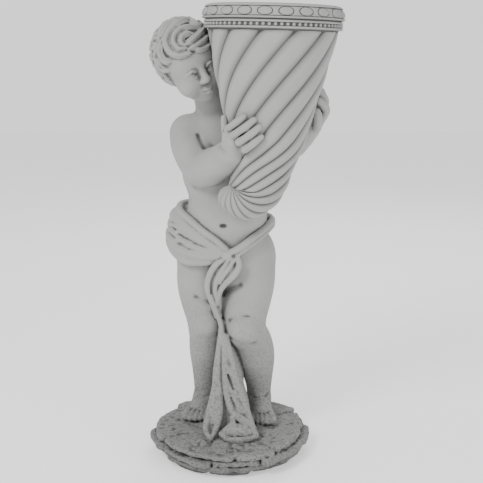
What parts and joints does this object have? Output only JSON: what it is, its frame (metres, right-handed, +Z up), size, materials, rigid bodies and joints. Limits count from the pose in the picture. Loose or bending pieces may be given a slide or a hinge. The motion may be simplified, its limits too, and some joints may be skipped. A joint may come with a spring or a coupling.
{
  "type": "garden statue",
  "caption": "Cast garden statue of a standing cherub in a knotted cloth on a rocky base, holding up a fluted horn with a hollow planter mouth.",
  "frame": {"origin": "centre of the round base at its underside, which stands on the ground", "axes": "+Z up through the figure, -Y towards the viewer that the figure faces, +X towards the side that the horn is held on"},
  "size_m": [0.3587, 0.3087, 0.8535],
  "materials": {
    "cast_stone": "matt, fine grained, weathered"
  },
  "bodies": {
    "root": {"cherub_statue": "cast_stone"}
  },
  "joints": []
}
